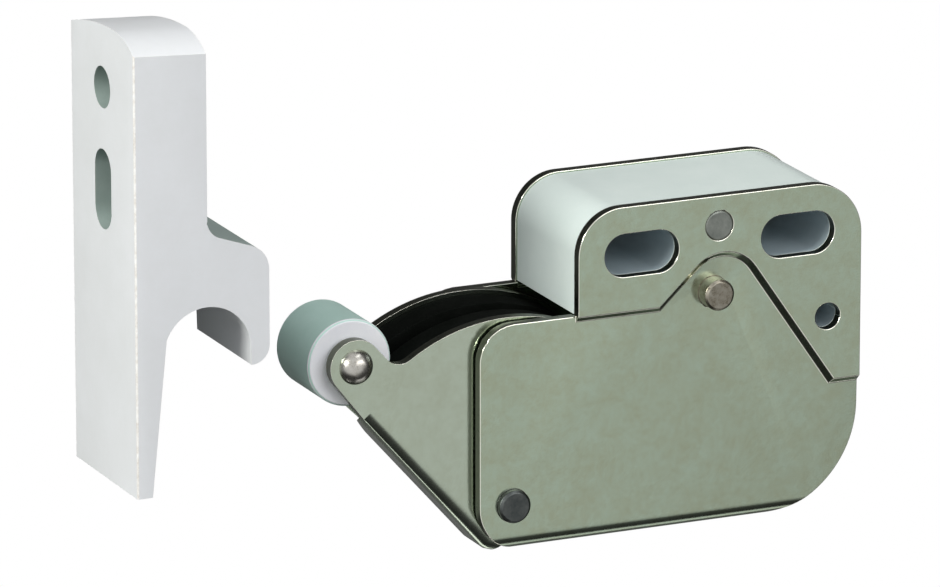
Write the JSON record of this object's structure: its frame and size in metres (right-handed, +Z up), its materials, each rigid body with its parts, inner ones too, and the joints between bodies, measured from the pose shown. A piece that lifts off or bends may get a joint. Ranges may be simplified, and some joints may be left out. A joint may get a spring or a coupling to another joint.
{
  "type": "roller latch with keeper",
  "caption": "Spring latch with a roller on a swinging arm in a folded steel housing, and a hooked keeper that drops over the roller.",
  "frame": {"origin": "midway between the two screw slots, on the back mounting face of the latch", "axes": "+X from the keeper towards the latch's closed end, +Y towards the panel the latch is screwed to, +Z up"},
  "size_m": [0.0829, 0.0183, 0.0605],
  "materials": {
    "plated_sheet": "satin nickel plating",
    "pin_steel": "bare, dull",
    "polished_steel": "polished",
    "spring_steel": "drawn wire",
    "block_plastic": "matt white",
    "roller_plastic": "turned white",
    "keeper_plastic": "matt white",
    "dark_plastic": "matt black"
  },
  "bodies": {
    "frame": {"housing": "plated_sheet", "spacer_block": "block_plastic", "spacer_rivet": "pin_steel", "pivot_pin": "pin_steel", "catch_pin": "pin_steel", "catch_sleeve_front": "dark_plastic", "catch_sleeve_back": "dark_plastic", "return_spring": "spring_steel", "keeper": "keeper_plastic"},
    "arm": {"arm": "plated_sheet", "roller_axle": "polished_steel", "cam_front": "dark_plastic", "cam_back": "dark_plastic", "cam_rivets": "pin_steel"},
    "roller": {"roller": "roller_plastic"},
    "pawl": {"pawl": "pin_steel", "follower_pin": "pin_steel"}
  },
  "joints": [
    {"name": "arm_swing", "type": "hinge", "parent": "frame", "child": "arm", "pos_m": [-0.0236, -0.00855, -0.02595], "axis": [0, 1, 0], "range_deg": [0, 46], "stiffness_Nm_per_rad": 0.12, "springref_deg": -28.65, "deforming": ["return_spring"]},
    {"name": "roller_spin", "type": "hinge", "parent": "arm", "child": "roller", "pos_m": [-0.04078, -0.00855, -0.00919], "axis": [0, 1, 0], "continuous": true},
    {"name": "pawl_swing", "type": "hinge", "parent": "frame", "child": "pawl", "pos_m": [-0.0005, -0.00855, -0.0053], "axis": [0, 1, 0], "range_deg": [-6, 0]}
  ],
  "couplings": [
    {"joint": "pawl_swing", "follows": "arm_swing", "ratio": -0.13}
  ]
}
